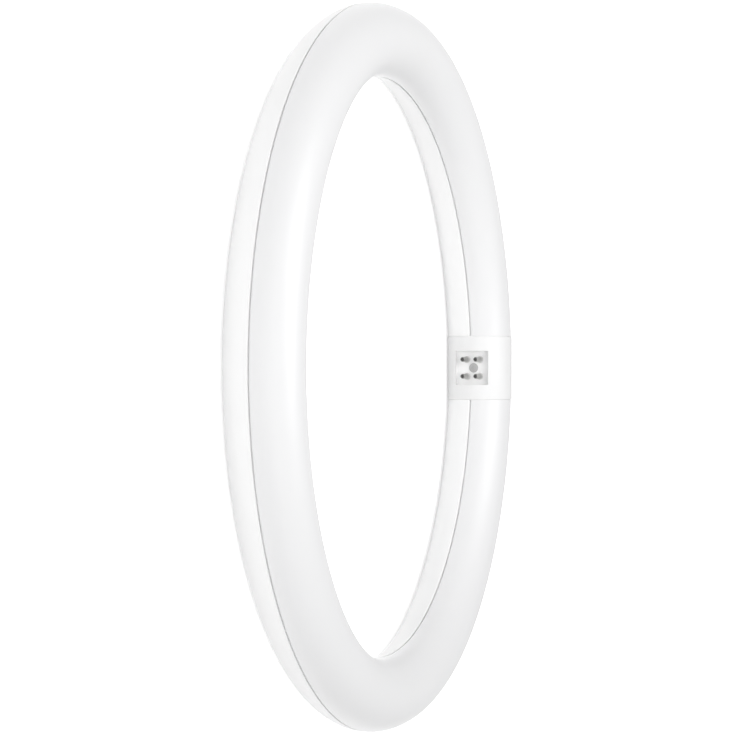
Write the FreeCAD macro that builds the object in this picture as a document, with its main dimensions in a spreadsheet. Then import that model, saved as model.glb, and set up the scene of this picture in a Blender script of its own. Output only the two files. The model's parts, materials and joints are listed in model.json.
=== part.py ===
"""Circular LED tube lamp: a ring of two moulded shells with a four-pin base across its ends.

The ring lies flat, its axis along Z, its milky half up. The base sits at +Y and its pins point at the
ring's centre. Millimetres throughout.
"""

import FreeCAD
import Part
import math
import os
import Sketcher

# Driving dimensions
SIZES = {
    # ring
    "ring_radius": "135",
    "tube_radius": "15",
    "shell_wall": "1.6",
    "seam_gap": "0.6",
    "skirt_thickness": "0.8",
    "joint_clearance": "0.1",
    "tongue_height": "1.6",
    "stretch_margin": "4",
    # ledges and clips that hold the boards of chips
    "seat_depth": "2.4",
    "ledge_reach": "1.6",
    "ledge_thickness": "1",
    "clip_reach": "0.6",
    "clip_height": "1.2",
    "clip_length": "7",
    # boards of chips
    "board_thickness": "1.2",
    "board_clearance": "0.2",
    "board_start": "14",
    "board_gap": "2",
    "chip_length": "3.5",
    "chip_width": "2.8",
    "chip_height": "0.8",
    "link_length": "8",
    "link_diameter": "0.8",
    "link_offset": "6",
    # base
    "base_length": "30",
    "base_step": "0.3",
    "base_wall": "0.8",
    "base_setback": "0.6",
    "base_edge": "0.35",
    "neck_length": "5",
    "neck_clearance": "0.1",
    "end_gap": "0.25",
    "stop_clearance": "0.2",
    "pocket_side": "16",
    "pocket_depth": "5",
    "pocket_corner": "0.6",
    "floor_thickness": "1.8",
    # contact pins
    "pin_spacing_wide": "7.92",
    "pin_spacing_high": "6.35",
    "pin_diameter": "2.35",
    "pin_length": "8",
    "shoulder_diameter": "3.5",
    "shoulder_height": "2.2",
    "stem_diameter": "2",
    "tail_diameter": "1.6",
    "tail_length": "2.2",
    "hole_clearance": "0.1",
    # base screw and what it clamps
    "screw_diameter": "2.9",
    "screw_length": "14",
    "head_diameter": "4.4",
    "head_height": "1.3",
    "head_sink": "0.15",
    "drive_width": "2.6",
    "drive_slot": "0.7",
    "drive_depth": "0.9",
    "screw_boss_diameter": "6",
    "screw_boss_height": "1.5",
    # pin board
    "pin_board_gap": "1",
    "pin_board_width": "17",
    "pin_board_top": "8",
    "pin_board_thickness": "1.2",
    # driver board
    "driver_inset": "5.4",
    "driver_thickness": "1.2",
    "driver_start": "-8",
    "driver_margin": "5",
    "driver_clearance": "0.05",
    "lead_diameter": "1",
    "lead_inset": "1.4",
    "lead_stub": "1",
    # driver parts, each at its distance along the ring from the base's middle
    # the tall ones leave their headroom under the boards of chips
    "resistor_station": "20",
    "resistor_length": "8",
    "resistor_diameter": "3",
    "varistor_station": "30",
    "varistor_headroom": "0.5",
    "varistor_thickness": "3.6",
    "film_station": "41",
    "film_length": "10",
    "film_width": "5",
    "film_headroom": "0.7",
    "film_corner": "0.8",
    "rectifier_station": "52",
    "rectifier_length": "4.8",
    "rectifier_width": "6.2",
    "rectifier_height": "2.4",
    "bulk_station": "64",
    "bulk_length": "12",
    "bulk_headroom": "0.8",
    "controller_station": "75",
    "controller_length": "4.9",
    "controller_width": "6",
    "controller_height": "1.6",
    "choke_station": "85",
    "choke_diameter": "7",
    "choke_headroom": "1.1",
    "choke_flange": "1",
    "choke_waist": "3.2",
    "winding_clearance": "0.1",
    "diode_station": "94",
    "diode_length": "4.3",
    "diode_width": "2.7",
    "diode_height": "2.2",
    "smoothing_station": "104",
    "smoothing_length": "9",
    "smoothing_diameter": "5",
    "can_groove": "0.3",
    "moulding_taper": "6",
}

BOARD_COUNT = 4
CHIPS_PER_BOARD = 24
CLIP_COUNT = 10
INNER_FLATS = 3

# Sizes that follow from the driving ones, as expressions
BORE = "(Sizes.tube_radius - Sizes.shell_wall)"
CLEAR_OF_TUBE = "(Sizes.tube_radius + Sizes.shell_wall)"
SKIRT_INSIDE = "(Sizes.tube_radius - Sizes.skirt_thickness)"
TONGUE_OUTSIDE = f"({SKIRT_INSIDE} - Sizes.joint_clearance)"
HALF_SEAM = "(Sizes.seam_gap / 2)"
SEAM_REACH = f"sqrt(Sizes.tube_radius ^ 2 - {HALF_SEAM} ^ 2)"
LEDGE_INSIDE = f"({BORE} - Sizes.ledge_reach)"
LEDGE_UNDER = "(Sizes.seat_depth + Sizes.ledge_thickness)"
LEDGE_ROOT = f"({LEDGE_UNDER} + Sizes.ledge_reach)"

BOARD_TOP = "(Sizes.board_thickness - Sizes.seat_depth)"
BOARD_HALF_WIDTH = f"({BORE} - Sizes.board_clearance)"
ARC_TO_DEGREES = "/ Sizes.ring_radius * 180 / pi"
BOARD_START = f"(Sizes.board_start {ARC_TO_DEGREES})"
BOARD_PITCH = f"((360 - 2 * {BOARD_START}) / {BOARD_COUNT})"
BOARD_ANGLE = f"({BOARD_PITCH} - Sizes.board_gap {ARC_TO_DEGREES})"
CHIP_PITCH = f"({BOARD_PITCH} / {CHIPS_PER_BOARD})"

BASE_AXIS = "(Sizes.ring_radius - Sizes.base_setback)"
BASE_RADIUS = "(Sizes.tube_radius + Sizes.base_step)"
BASE_INSIDE = f"({BASE_RADIUS} - Sizes.base_wall)"
BASE_MID_WALL = f"({BASE_RADIUS} - Sizes.base_wall / 2)"
NECK_RADIUS = f"({BASE_INSIDE} - Sizes.neck_clearance)"
TUBE_GAP = "(Sizes.base_length - 2 * Sizes.neck_length)"
NECK_SPAN = "(Sizes.base_length + 2 * Sizes.end_gap)"
BASE_STRETCH = f"({NECK_SPAN} + 2 * Sizes.stretch_margin)"
BASE_SWEEP = f"({BASE_STRETCH} / (Sizes.ring_radius - Sizes.tube_radius) * 180 / pi)"
BLOCK_LENGTH = f"({TUBE_GAP} - 2 * Sizes.stop_clearance)"
POCKET_FLOOR = f"({BASE_AXIS} - {BASE_RADIUS} + Sizes.pocket_depth)"
FLOOR_BACK = f"({POCKET_FLOOR} + Sizes.floor_thickness)"
BOSS_BACK = f"({FLOOR_BACK} + Sizes.screw_boss_height)"
HEAD_SEAT = f"({POCKET_FLOOR} + Sizes.head_sink + Sizes.head_height)"
HEAD_TOP = f"({POCKET_FLOOR} + Sizes.head_sink)"
PIN_BOARD_FRONT = f"({FLOOR_BACK} + Sizes.pin_board_gap)"
PIN_BOARD_BACK = f"({PIN_BOARD_FRONT} + Sizes.pin_board_thickness)"

DRIVER_HALF_WIDTH = f"({BORE} - Sizes.driver_inset)"
DRIVER_SEAT = f"sqrt({BORE} ^ 2 - {DRIVER_HALF_WIDTH} ^ 2)"
DRIVER_BOTTOM = f"(Sizes.driver_clearance - {DRIVER_SEAT})"
DRIVER_TOP = f"({DRIVER_BOTTOM} + Sizes.driver_thickness)"
DRIVER_ROOM = f"(-Sizes.seat_depth - {DRIVER_TOP})"
FILM_HEIGHT = f"({DRIVER_ROOM} - Sizes.film_headroom)"
CHOKE_HEIGHT = f"({DRIVER_ROOM} - Sizes.choke_headroom)"
BULK_DIAMETER = f"({DRIVER_ROOM} - Sizes.bulk_headroom)"
LEAD_OFFSET = f"({DRIVER_HALF_WIDTH} - Sizes.lead_inset)"
FEED_ARC = f"(Sizes.board_start + {BOARD_PITCH} / 2 * Sizes.ring_radius * pi / 180)"
DRIVER_LENGTH = f"({FEED_ARC} + Sizes.driver_margin - Sizes.driver_start)"

document = FreeCAD.newDocument("CircularTubeLamp")


def make_sheet():
    """The sheet of driving dimensions, one named row each."""
    sheet = document.addObject("Spreadsheet::Sheet", "Sizes")
    for row, (name, size) in enumerate(SIZES.items(), start=1):
        sheet.set(f"A{row}", name)
        sheet.set(f"B{row}", size)
        sheet.setAlias(f"B{row}", name)
    document.recompute()
    return sheet


sheet = make_sheet()


def value(expression):
    """The number that an expression on the sheet gives."""
    return float(sheet.evalExpression(expression))


# Sketches and features
def new_body(label):
    body = document.addObject("PartDesign::Body", label)
    body.Label = label
    return body


def origin_feature(body, role):
    """One of a body's own origin planes or axes."""
    return next(feature for feature in body.Origin.OriginFeatures if feature.Role == role)


def new_sketch(body, name, plane, **offsets):
    """A sketch on a body's own plane, moved by expressions along its own x, y or z."""
    sketch = body.newObject("Sketcher::SketchObject", f"{body.Label}_{name}")
    sketch.AttachmentSupport = [(origin_feature(body, plane), "")]
    sketch.MapMode = "FlatFace"
    for axis, expression in offsets.items():
        sketch.setExpression(f"AttachmentOffset.Base.{axis}", expression)
    return sketch


def bind(sketch, kind, references, expression):
    """A dimension that follows the sheet."""
    name = f"size_{sketch.ConstraintCount}"
    index = sketch.addConstraint(Sketcher.Constraint(kind, *references, value(expression)))
    sketch.renameConstraint(index, name)
    sketch.setExpression(f"Constraints.{name}", expression)


def hold(sketch, edge, point, place, held="xy"):
    """Ties a point of an edge to the sketch's origin, in one direction or both."""
    for kind, axis, expression in (("DistanceX", "x", place[0]), ("DistanceY", "y", place[1])):
        if axis in held:
            bind(sketch, kind, (-1, 1, edge, point), expression)


def draw_outline(sketch, corners, arcs=None):
    """A closed run of lines and arcs.

    corners: (x, y) or (x, y, held) expressions; a corner that an arc already places is held one way only.
    arcs: start corner's number -> (centre, radius, counter-clockwise).
    """
    arcs = arcs or {}
    points = [FreeCAD.Vector(value(corner[0]), value(corner[1]), 0) for corner in corners]
    ends = []
    for number, start in enumerate(points):
        end = points[(number + 1) % len(points)]
        if number not in arcs:
            edge = sketch.addGeometry(Part.LineSegment(start, end), False)
            ends.append((edge, 1, 2))
            continue
        centre, radius, forward = arcs[number]
        middle = FreeCAD.Vector(value(centre[0]), value(centre[1]), 0)
        circle = Part.Circle(middle, FreeCAD.Vector(0, 0, 1), value(radius))
        first, last = (start, end) if forward else (end, start)
        angles = [math.atan2(spot.y - middle.y, spot.x - middle.x) for spot in (first, last)]
        edge = sketch.addGeometry(Part.ArcOfCircle(circle, *angles), False)
        hold(sketch, edge, 3, centre)
        bind(sketch, "Radius", (edge,), radius)
        ends.append((edge, 1, 2) if forward else (edge, 2, 1))
    for number, corner in enumerate(corners):
        edge, start, _ = ends[number]
        before, _, end = ends[number - 1]
        sketch.addConstraint(Sketcher.Constraint("Coincident", before, end, edge, start))
        hold(sketch, edge, start, corner[:2], corner[2] if len(corner) > 2 else "xy")


def draw_rectangle(sketch, left, bottom, right, top):
    draw_outline(sketch, [(left, bottom), (right, bottom), (right, top), (left, top)])


def draw_circle(sketch, centre, radius):
    middle = FreeCAD.Vector(value(centre[0]), value(centre[1]), 0)
    edge = sketch.addGeometry(Part.Circle(middle, FreeCAD.Vector(0, 0, 1), value(radius)), False)
    hold(sketch, edge, 3, centre)
    bind(sketch, "Radius", (edge,), radius)


def add_feature(body, kind, name, profile, sizes, **settings):
    """A feature on a profile whose sizes follow the sheet."""
    feature = body.newObject(f"PartDesign::{kind}", f"{body.Label}_{name}")
    feature.Profile = profile
    for key, setting in settings.items():
        setattr(feature, key, setting)
    for key, expression in sizes.items():
        feature.setExpression(key, expression)
    body.Tip = feature
    document.recompute()
    return feature


def pad(body, name, profile, length, taper=None, **settings):
    sizes = {"Length": length}
    if taper:
        sizes["TaperAngle"] = taper
    return add_feature(body, "Pad", name, profile, sizes, **settings)


def pocket(body, name, profile, length, **settings):
    """A cut that must take something away."""
    before = body.Shape.Volume
    feature = add_feature(body, "Pocket", name, profile, {"Length": length}, **settings)
    if body.Shape.Volume >= before:
        raise RuntimeError(f"{feature.Label} cuts nothing")
    return feature


def revolve(body, name, profile, axis="V_Axis", angle="360", **settings):
    """A turn about one of the profile's own axes."""
    return add_feature(
        body, "Revolution", name, profile, {"Angle": angle}, ReferenceAxis=(profile, [axis]), **settings
    )


def repeat_round_ring(body, name, originals, count, angle, **settings):
    """Copies of features round the ring's axis."""
    pattern = body.newObject("PartDesign::PolarPattern", f"{body.Label}_{name}")
    pattern.Originals = originals
    pattern.Axis = (origin_feature(body, "Z_Axis"), [""])
    pattern.Occurrences = count
    for key, setting in settings.items():
        setattr(pattern, key, setting)
    pattern.setExpression("Angle", angle)
    body.Tip = pattern
    document.recompute()


def soften(body, name, kind, size, chosen):
    """A fillet or chamfer on the edges that a test chooses."""
    base = body.Tip
    edges = [f"Edge{number}" for number, edge in enumerate(base.Shape.Edges, start=1) if chosen(edge)]
    feature = body.newObject(f"PartDesign::{kind}", f"{body.Label}_{name}")
    feature.Base = (base, edges)
    feature.setExpression("Radius" if kind == "Fillet" else "Size", size)
    body.Tip = feature
    document.recompute()


def turn_round_ring(body, degrees):
    """Turns a body about the ring's axis, clockwise from the base."""
    body.Placement = FreeCAD.Placement(FreeCAD.Vector(), FreeCAD.Rotation(FreeCAD.Vector(0, 0, -1), 1))
    body.setExpression("Placement.Rotation.Angle", degrees)
    document.recompute()


def out_from_ring(distance):
    """A place that far outside the tube's centre line."""
    return f"Sizes.ring_radius + {distance}"


def in_from_ring(distance):
    """A place that far inside the tube's centre line."""
    return f"Sizes.ring_radius - {distance}"


def both_sides(corners):
    """Corners given by their reach from the tube's centre line, outside it and, in reverse, inside it."""
    outer = [(out_from_ring(reach), *rest) for reach, *rest in corners]
    inner = [(in_from_ring(reach), *rest) for reach, *rest in reversed(corners)]
    return outer, inner


TUBE_CENTRE = ("Sizes.ring_radius", "0")
BASE_CENTRE = (BASE_AXIS, "0")


# Ring shells
def sweep_round_ring(body, draw_section):
    """Sweeps a shell's section the long way round the ring, then over the short stretch that the base cuts.

    draw_section: draws the section in the sketch that it is given.
    """
    sweeps = (("shell", 180, f"360 - {BASE_SWEEP}"), ("base_stretch", 0, BASE_SWEEP))
    for name, bearing, sweep in sweeps:
        section = new_sketch(body, f"{name}_section", "YZ_Plane")
        across = FreeCAD.Rotation(FreeCAD.Vector(0, 1, 0), bearing)
        section.AttachmentOffset = FreeCAD.Placement(FreeCAD.Vector(), across)
        draw_section(section)
        revolve(body, name, section, angle=sweep, Midplane=True, Refine=False)


def cut_ring_ends(body, rim_low, rim_high):
    """Opens the ring at the base and turns both ends down to a straight neck that the base closes round.

    rim_low, rim_high: the band of height that the shell's tongue or skirt leaves free at the necks.
    """
    inner, outer = in_from_ring(CLEAR_OF_TUBE), out_from_ring(CLEAR_OF_TUBE)
    gap = new_sketch(body, "gap", "YZ_Plane")
    draw_rectangle(gap, inner, f"-{CLEAR_OF_TUBE}", outer, CLEAR_OF_TUBE)
    pocket(body, "gap_cut", gap, TUBE_GAP, Midplane=True, Refine=False)
    rim = new_sketch(body, "neck_rim", "YZ_Plane")
    draw_rectangle(rim, inner, rim_low, outer, rim_high)
    pocket(body, "neck_rim_cut", rim, NECK_SPAN, Midplane=True, Refine=False)
    neck = new_sketch(body, "neck", "YZ_Plane")
    draw_circle(neck, BASE_CENTRE, NECK_RADIUS)
    draw_circle(neck, BASE_CENTRE, f"{CLEAR_OF_TUBE} + Sizes.base_setback")
    pocket(body, "neck_cut", neck, NECK_SPAN, Midplane=True, Refine=False)


def draw_rear_section(section):
    """Round outside and flat-sided inside, with a tongue at both rims and a pair of ledges.

    The boards of chips lie on the ledges. The driver board's edges sit where the lowest flats begin.
    """
    outside = [
        (SEAM_REACH, f"-{HALF_SEAM}", "y"),
        (TONGUE_OUTSIDE, f"-{HALF_SEAM}"),
        (TONGUE_OUTSIDE, "Sizes.tongue_height"),
        (BORE, "Sizes.tongue_height"),
        (BORE, "-Sizes.seat_depth"),
        (LEDGE_INSIDE, "-Sizes.seat_depth"),
        (LEDGE_INSIDE, f"-{LEDGE_UNDER}"),
        (f"sqrt({BORE} ^ 2 - {LEDGE_ROOT} ^ 2)", f"-{LEDGE_ROOT}"),
        (DRIVER_HALF_WIDTH, f"-{DRIVER_SEAT}"),
    ]
    keel = [("Sizes.ring_radius", f"-{BORE}")]
    right, left = both_sides(outside)
    arcs = {len(right + keel + left) - 1: (TUBE_CENTRE, "Sizes.tube_radius", True)}
    draw_outline(section, right + keel + left, arcs)


def make_rear_housing():
    """The opaque half of the tube, with clips that snap over the boards of chips."""
    body = new_body("rear_housing")
    sweep_round_ring(body, draw_rear_section)
    clips = [
        add_board_clips(body, "outer_clip", out_from_ring, 1),
        add_board_clips(body, "inner_clip", in_from_ring, -1),
    ]
    repeat_round_ring(body, "clips", clips, CLIP_COUNT, "360", Refine=False)
    cut_ring_ends(body, f"-{HALF_SEAM}", f"Sizes.tongue_height + {HALF_SEAM}")
    return body


def add_board_clips(body, name, across, side):
    """One ramp-shaped clip on the tongue's inner face that snaps over a board's edge."""
    root = f"({BORE} + Sizes.joint_clearance)"
    tip = f"({BORE} - Sizes.clip_reach)"
    under = f"({BOARD_TOP} + Sizes.joint_clearance)"
    corners = [(across(root), under), (across(root), f"{under} + Sizes.clip_height"), (across(tip), under)]
    profile = new_sketch(body, f"{name}_profile", "XZ_Plane")
    draw_outline(profile, corners[::side])
    sweep = f"Sizes.clip_length {ARC_TO_DEGREES}"
    return revolve(body, name, profile, angle=sweep, Midplane=True, Refine=False)


def draw_front_section(section):
    """Round outside and flat-sided inside, with a thin skirt that drops over the rear housing's tongue."""
    flats = [
        (f"{BORE} * cos({90 * step / INNER_FLATS})", f"{BORE} * sin({90 * step / INNER_FLATS})")
        for step in range(INNER_FLATS - 1, 0, -1)
    ]
    inside = f"sqrt({BORE} ^ 2 - Sizes.tongue_height ^ 2)"
    rim = [
        (inside, "Sizes.tongue_height"),
        (SKIRT_INSIDE, "Sizes.tongue_height"),
        (SKIRT_INSIDE, HALF_SEAM),
        (SEAM_REACH, HALF_SEAM, "y"),
    ]
    right, left = both_sides(flats + rim)
    crown = [("Sizes.ring_radius", BORE)]
    arcs = {len(right) - 1: (TUBE_CENTRE, "Sizes.tube_radius", True)}
    draw_outline(section, right + left + crown, arcs)


def make_front_diffuser():
    """The milky half of the tube."""
    body = new_body("front_diffuser")
    sweep_round_ring(body, draw_front_section)
    cut_ring_ends(body, f"-{HALF_SEAM}", "Sizes.tongue_height")
    return body


# Base
def pad_half_sleeve(body, side):
    """One half of the base's straight sleeve: side is -1 towards the ring's centre and 1 away from it."""
    section = new_sketch(body, "sleeve", "YZ_Plane")
    corners = [
        (BASE_AXIS, f"-{BASE_INSIDE}", "x"),
        (BASE_AXIS, f"-{BASE_RADIUS}", "x"),
        (BASE_AXIS, BASE_RADIUS, "x"),
        (BASE_AXIS, BASE_INSIDE, "x"),
    ]
    outward = side > 0
    arcs = {1: (BASE_CENTRE, BASE_RADIUS, outward), 3: (BASE_CENTRE, BASE_INSIDE, not outward)}
    draw_outline(section, corners, arcs)
    pad(body, "sleeve_pad", section, "Sizes.base_length", Midplane=True)


def near(one, other):
    return abs(one - other) < 1e-4


def is_sleeve_edge(edge):
    """The outer curved edges at the sleeve's ends and the straight ones where its halves meet."""
    middle = edge.CenterOfMass
    if isinstance(edge.Curve, Part.Circle):
        at_end = near(abs(middle.x), value("Sizes.base_length / 2"))
        return at_end and near(edge.Curve.Radius, value(BASE_RADIUS))
    return near(middle.y, value(BASE_AXIS)) and near(abs(middle.z), value(BASE_RADIUS))


def is_pocket_corner(edge):
    """The edges between the pocket's walls."""
    middle = edge.CenterOfMass
    half = value("Sizes.pocket_side / 2")
    return isinstance(edge.Curve, Part.Line) and near(abs(middle.x), half) and near(abs(middle.z), half)


def pin_places():
    """The four pins' places across the base, in a fixed order."""
    wide = "Sizes.pin_spacing_wide / 2"
    high = "Sizes.pin_spacing_high / 2"
    return [(f"{x}{wide}", f"{z}{high}") for z in ("", "-") for x in ("-", "")]


def make_base_inner_shell():
    """The half with the pocket, whose floor holds the four pins and the screw's counterbored head."""
    body = new_body("base_inner_shell")
    pad_half_sleeve(body, -1)

    block = new_sketch(body, "block", "YZ_Plane")
    half_chord = f"sqrt({BASE_MID_WALL} ^ 2 - ({BASE_AXIS} - {FLOOR_BACK}) ^ 2)"
    corners = [(FLOOR_BACK, f"-{half_chord}", "x"), (FLOOR_BACK, half_chord, "x")]
    draw_outline(block, corners, {1: (BASE_CENTRE, BASE_MID_WALL, True)})
    pad(body, "block_pad", block, BLOCK_LENGTH, Midplane=True)

    mouth = new_sketch(body, "mouth", "XZ_Plane")
    half = "Sizes.pocket_side / 2"
    draw_rectangle(mouth, f"-{half}", f"-{half}", half, half)
    pocket(body, "mouth_cut", mouth, POCKET_FLOOR)
    soften(body, "mouth_corners", "Fillet", "Sizes.pocket_corner", is_pocket_corner)

    screw_boss = new_sketch(body, "screw_boss", "XZ_Plane", z=f"-{FLOOR_BACK}")
    draw_circle(screw_boss, ("0", "0"), "Sizes.screw_boss_diameter / 2")
    pad(body, "screw_boss_pad", screw_boss, "Sizes.screw_boss_height", Reversed=True)

    holes = new_sketch(body, "holes", "XZ_Plane")
    for place in pin_places():
        draw_circle(holes, place, "Sizes.stem_diameter / 2")
    draw_circle(holes, ("0", "0"), "Sizes.screw_diameter / 2 + Sizes.hole_clearance")
    pocket(body, "holes_cut", holes, BOSS_BACK)

    counterbore = new_sketch(body, "counterbore", "XZ_Plane")
    draw_circle(counterbore, ("0", "0"), "Sizes.head_diameter / 2 + Sizes.hole_clearance")
    pocket(body, "counterbore_cut", counterbore, HEAD_SEAT)

    soften(body, "edges", "Chamfer", "Sizes.base_edge", is_sleeve_edge)
    return body


def make_base_outer_shell():
    """The half on the ring's outside, with the pillar that the screw bites into."""
    body = new_body("base_outer_shell")
    pad_half_sleeve(body, 1)
    pillar = new_sketch(body, "pillar", "XZ_Plane", z=f"-{BOSS_BACK}")
    draw_circle(pillar, ("0", "0"), "Sizes.screw_boss_diameter / 2")
    pad(body, "pillar_pad", pillar, f"{BASE_AXIS} + {BASE_MID_WALL} - {BOSS_BACK}", Reversed=True)
    pilot = new_sketch(body, "pilot", "XZ_Plane", z=f"-{BOSS_BACK}")
    draw_circle(pilot, ("0", "0"), "Sizes.screw_diameter / 2")
    pocket(body, "pilot_cut", pilot, f"{HEAD_SEAT} + Sizes.screw_length + Sizes.stop_clearance - {BOSS_BACK}")
    soften(body, "edges", "Chamfer", "Sizes.base_edge", is_sleeve_edge)
    return body


# Pins and screw
def make_contact_pin(number, place):
    """A turned pin: round tip, shank, conical shoulder on the pocket's floor, stem and thin tail."""
    body = new_body(f"contact_pin_{number}")
    tip = f"({POCKET_FLOOR} - Sizes.pin_length)"
    radius = "Sizes.pin_diameter / 2"
    stem = "Sizes.stem_diameter / 2"
    tail = "Sizes.tail_diameter / 2"
    tail_end = f"{PIN_BOARD_FRONT} + Sizes.tail_length"
    profile = new_sketch(body, "profile", "XY_Plane")
    corners = [
        ("0", tip, "x"),
        (radius, f"{tip} + {radius}", "y"),
        (radius, f"{POCKET_FLOOR} - Sizes.shoulder_height"),
        ("Sizes.shoulder_diameter / 2", POCKET_FLOOR),
        (stem, POCKET_FLOOR),
        (stem, PIN_BOARD_FRONT),
        (tail, PIN_BOARD_FRONT),
        (tail, tail_end),
        ("0", tail_end),
    ]
    draw_outline(profile, corners, {0: (("0", f"{tip} + {radius}"), radius, True)})
    revolve(body, "turned", profile)
    body.setExpression("Placement.Base.x", place[0])
    body.setExpression("Placement.Base.z", place[1])
    return body


def make_base_screw():
    """A flat-headed screw with a cross recess, its thread left plain."""
    body = new_body("base_screw")
    profile = new_sketch(body, "profile", "XY_Plane")
    radius = "Sizes.screw_diameter / 2"
    tip = f"{HEAD_SEAT} + Sizes.screw_length"
    corners = [
        ("0", HEAD_TOP),
        ("Sizes.head_diameter / 2", HEAD_TOP),
        ("Sizes.head_diameter / 2", HEAD_SEAT),
        (radius, HEAD_SEAT),
        (radius, f"{tip} - {radius}"),
        ("0", tip),
    ]
    draw_outline(profile, corners)
    revolve(body, "turned", profile)
    drive = new_sketch(body, "drive", "XZ_Plane", z=f"-{HEAD_TOP}")
    draw_cross(drive, "Sizes.drive_width / 2", "Sizes.drive_slot / 2")
    pocket(body, "drive_cut", drive, "Sizes.drive_depth")
    return body


def draw_cross(sketch, reach, half_slot):
    """A plus sign of twelve corners about the sketch's origin."""
    arm = [(reach, half_slot), (half_slot, half_slot), (half_slot, reach)]
    corners = []
    for x_sign, y_sign in (("", ""), ("-", ""), ("-", "-"), ("", "-")):
        quarter = [(f"{x_sign}{x}", f"{y_sign}{y}") for x, y in arm]
        corners += quarter if x_sign == y_sign else quarter[::-1]
    draw_outline(sketch, corners)


def make_pin_board():
    """The board that the pins' tails are soldered into.

    It stands on the driver board's end, where it is soldered too, and clears the screw boss.
    """
    body = new_body("pin_board")
    outline = new_sketch(body, "outline", "XZ_Plane", z=f"-{PIN_BOARD_FRONT}")
    half_width = "Sizes.pin_board_width / 2"
    draw_rectangle(outline, f"-{half_width}", DRIVER_TOP, half_width, "Sizes.pin_board_top")
    draw_circle(outline, ("0", "0"), "Sizes.screw_boss_diameter / 2 + Sizes.hole_clearance")
    for place in pin_places():
        draw_circle(outline, place, "Sizes.tail_diameter / 2 + Sizes.hole_clearance")
    pad(body, "plate", outline, "Sizes.pin_board_thickness", Reversed=True)
    return body


# Boards of chips
def board_bearing(count):
    """How far round the ring from the base, in degrees, so many boards reach."""
    return f"{BOARD_START} + {count} * {BOARD_PITCH}"


def make_led_board(number):
    """An arc-shaped board on the rear housing's ledges, with a pair of feed holes at its middle."""
    body = new_body(f"led_board_{number}")
    section = new_sketch(body, "section", "YZ_Plane")
    inner, outer = in_from_ring(BOARD_HALF_WIDTH), out_from_ring(BOARD_HALF_WIDTH)
    draw_rectangle(section, inner, "-Sizes.seat_depth", outer, BOARD_TOP)
    revolve(body, "arc", section, angle=BOARD_ANGLE, Midplane=True)
    holes = new_sketch(body, "feed_holes", "XY_Plane")
    for centre in (in_from_ring(LEAD_OFFSET), out_from_ring(LEAD_OFFSET)):
        draw_circle(holes, ("0", centre), "Sizes.lead_diameter / 2 + Sizes.hole_clearance")
    pocket(body, "feed_holes_cut", holes, LEDGE_UNDER)
    turn_round_ring(body, board_bearing(number - 0.5))
    return body


def make_led_chips(number):
    """The row of chips along a board's middle."""
    body = new_body(f"led_chips_{number}")
    outline = new_sketch(body, "outline", "XY_Plane", z=BOARD_TOP)
    half_width = "Sizes.chip_width / 2"
    draw_rectangle(
        outline,
        "-Sizes.chip_length / 2",
        in_from_ring(half_width),
        "Sizes.chip_length / 2",
        out_from_ring(half_width),
    )
    chip = pad(body, "chip", outline, "Sizes.chip_height")
    span = f"{CHIP_PITCH} * {CHIPS_PER_BOARD - 1}"
    repeat_round_ring(body, "row", [chip], CHIPS_PER_BOARD, span, Reversed=True)
    turn_round_ring(body, f"{board_bearing(number - 1)} + {CHIP_PITCH} / 2")
    return body


def make_board_link(number):
    """The pair of wire links across the gap between one board and the next."""
    body = new_body(f"board_link_{number}")
    radius = "Sizes.link_diameter / 2"
    ends = new_sketch(body, "ends", "YZ_Plane")
    for centre in (in_from_ring("Sizes.link_offset"), out_from_ring("Sizes.link_offset")):
        draw_circle(ends, (centre, f"{BOARD_TOP} + {radius}"), radius)
    pad(body, "wires", ends, "Sizes.link_length", Midplane=True)
    turn_round_ring(body, board_bearing(number))
    return body


# Driver
def along_ring(arc):
    """How far round the ring from the base, in degrees, a length along it reaches."""
    return f"({arc}) {ARC_TO_DEGREES}"


def make_driver_board():
    """The long narrow board low in the rear housing, its lower edges seated on the round wall."""
    body = new_body("driver_board")
    section = new_sketch(body, "section", "YZ_Plane")
    inner, outer = in_from_ring(DRIVER_HALF_WIDTH), out_from_ring(DRIVER_HALF_WIDTH)
    draw_rectangle(section, inner, DRIVER_BOTTOM, outer, DRIVER_TOP)
    revolve(body, "arc", section, angle=along_ring(DRIVER_LENGTH), Midplane=True)
    turn_round_ring(body, along_ring(f"Sizes.driver_start + {DRIVER_LENGTH} / 2"))
    return body


def place_on_driver(body, part):
    turn_round_ring(body, along_ring(f"Sizes.{part}_station"))
    return body


def make_moulded_package(label, part):
    """A chip package: a low block whose sides lean in."""
    body = new_body(label)
    outline = new_sketch(body, "outline", "XY_Plane", z=DRIVER_TOP)
    half_length = f"Sizes.{part}_length / 2"
    half_width = f"Sizes.{part}_width / 2"
    draw_rectangle(
        outline, f"-{half_length}", in_from_ring(half_width), half_length, out_from_ring(half_width)
    )
    pad(body, "block", outline, f"Sizes.{part}_height", "-Sizes.moulding_taper")
    return place_on_driver(body, part)


def is_film_upright(edge):
    """The box's upright edges."""
    return near(edge.Length, value(FILM_HEIGHT))


def make_film_capacitor():
    """A box-shaped capacitor with rounded upright edges."""
    body = new_body("film_capacitor")
    outline = new_sketch(body, "outline", "XY_Plane", z=DRIVER_TOP)
    half_width = "Sizes.film_width / 2"
    draw_rectangle(
        outline,
        "-Sizes.film_length / 2",
        in_from_ring(half_width),
        "Sizes.film_length / 2",
        out_from_ring(half_width),
    )
    pad(body, "box", outline, FILM_HEIGHT)
    soften(body, "uprights", "Fillet", "Sizes.film_corner", is_film_upright)
    return place_on_driver(body, "film")


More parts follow.
